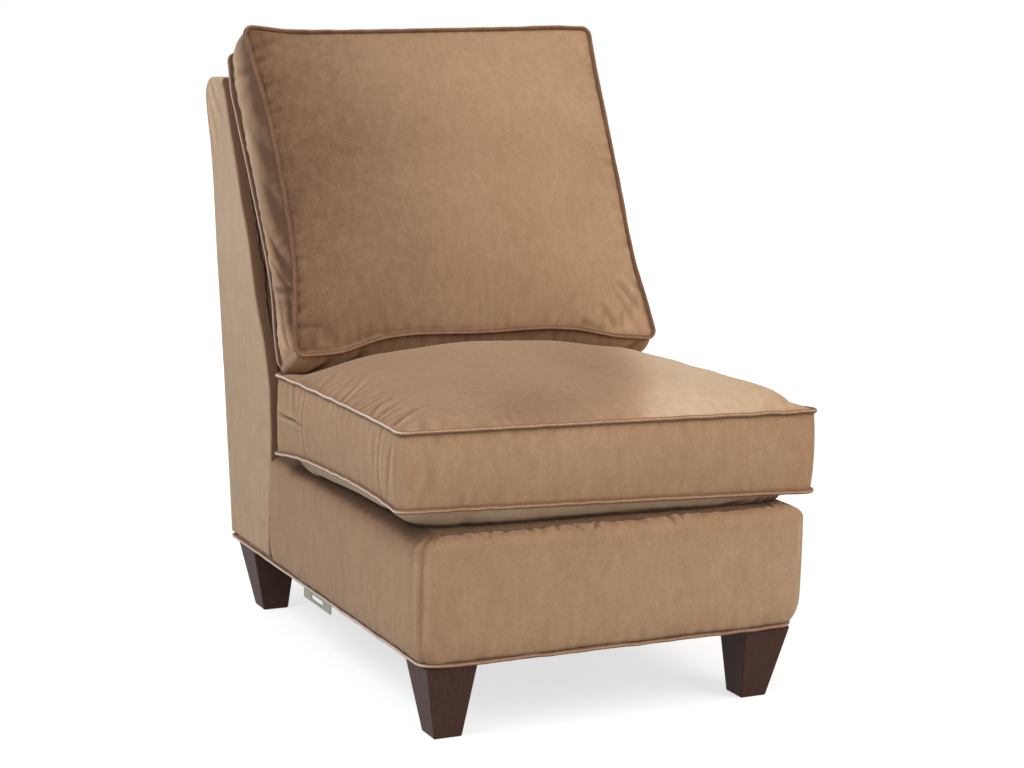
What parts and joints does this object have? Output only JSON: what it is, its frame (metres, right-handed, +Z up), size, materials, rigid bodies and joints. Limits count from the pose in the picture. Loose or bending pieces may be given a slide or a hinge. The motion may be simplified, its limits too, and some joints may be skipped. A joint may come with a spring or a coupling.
{
  "type": "armless sectional chair",
  "caption": "Armless upholstered sectional chair with a raked back, loose box cushions, piped edges, tapered wooden legs and side connectors.",
  "frame": {"origin": "on the floor under the middle of the chair", "axes": "+Z up, -Y the way the chair faces, +X to the right of someone looking at its front"},
  "size_m": [0.7016, 0.9918, 1.0057],
  "materials": {
    "cover_fabric": "brushed camel suede cloth",
    "welt_fabric": "piping in the same suede cloth",
    "frame_wood": "bare hardwood",
    "leg_wood": "dark stained and lacquered",
    "foam": "open-cell seat foam",
    "wadding": "polyester wadding",
    "black_cloth": "black non-woven cloth",
    "spring_steel": "drawn spring wire",
    "zinc_steel": "zinc plated",
    "zip_tape": "woven zip tape with its chain",
    "zip_metal": "dark lacquered zip metal"
  },
  "bodies": {
    "chair_frame": {"back_support_cloth": "black_cloth", "back_top_rail": "frame_wood", "base_welt": "welt_fabric", "deck_pad": "wadding", "dust_cloth": "black_cloth", "front_border": "cover_fabric", "front_left_corner_block": "frame_wood", "front_left_leg": "leg_wood", "front_left_leg_bolt": "zinc_steel", "front_rail": "frame_wood", "front_right_corner_block": "frame_wood", "front_right_leg": "leg_wood", "front_right_leg_bolt": "zinc_steel", "front_spring_clip_1": "zinc_steel", "front_spring_clip_2": "zinc_steel", "front_spring_clip_3": "zinc_steel", "front_spring_clip_4": "zinc_steel", "inside_back_cover": "cover_fabric", "inside_back_pad": "wadding", "left_back_panel": "cover_fabric", "left_back_post": "frame_wood", "left_border": "cover_fabric", "left_connector": "zinc_steel", "left_side_rail": "frame_wood", "outside_back_panel": "cover_fabric", "rear_left_corner_block": "frame_wood", "rear_left_leg": "leg_wood", "rear_left_leg_bolt": "zinc_steel", "rear_rail": "frame_wood", "rear_right_corner_block": "frame_wood", "rear_right_leg": "leg_wood", "rear_right_leg_bolt": "zinc_steel", "rear_spring_clip_1": "zinc_steel", "rear_spring_clip_2": "zinc_steel", "rear_spring_clip_3": "zinc_steel", "rear_spring_clip_4": "zinc_steel", "right_back_panel": "cover_fabric", "right_back_post": "frame_wood", "right_border": "cover_fabric", "right_connector": "zinc_steel", "right_side_rail": "frame_wood", "seat_spring_1": "spring_steel", "seat_spring_2": "spring_steel", "seat_spring_3": "spring_steel", "seat_spring_4": "spring_steel", "spring_rail": "frame_wood"},
    "seat_cushion": {"seat_cushion_cover": "cover_fabric", "seat_cushion_core": "foam", "seat_cushion_bottom_welt": "welt_fabric", "seat_cushion_top_welt": "welt_fabric", "seat_zip": "zip_tape"},
    "back_cushion": {"back_cushion_cover": "cover_fabric", "back_cushion_core": "wadding", "back_cushion_rear_welt": "welt_fabric", "back_cushion_front_welt": "welt_fabric", "back_zip": "zip_tape"},
    "seat_slider": {"seat_zip_slider": "zip_metal"},
    "seat_pull": {"seat_zip_pull": "zip_metal"},
    "back_slider": {"back_zip_slider": "zip_metal"},
    "back_pull": {"back_zip_pull": "zip_metal"}
  },
  "joints": [
    {"name": "seat_cushion_slide", "type": "slide", "parent": "chair_frame", "child": "seat_cushion", "axis": [0, -1, 0], "range_m": [0, 0.53]},
    {"name": "back_cushion_lift", "type": "slide", "parent": "chair_frame", "child": "back_cushion", "axis": [0, 0.4462, 0.8949], "range_m": [0, 0.6]},
    {"name": "seat_zip_run", "type": "slide", "parent": "seat_cushion", "child": "seat_slider", "axis": [-1, 0, 0], "range_m": [0, 0.62]},
    {"name": "seat_pull_swing", "type": "hinge", "parent": "seat_slider", "child": "seat_pull", "pos_m": [0.3122, 0.05293, 0.3933], "axis": [0, 0, -1], "range_deg": [0, 170]},
    {"name": "back_zip_run", "type": "slide", "parent": "back_cushion", "child": "back_slider", "axis": [-1, 0, 0], "range_m": [0, 0.58]},
    {"name": "back_pull_swing", "type": "hinge", "parent": "back_slider", "child": "back_pull", "pos_m": [0.2912, 0.05414, 0.44968], "axis": [0, -0.9735, 0.2288], "range_deg": [-80, 80]}
  ]
}
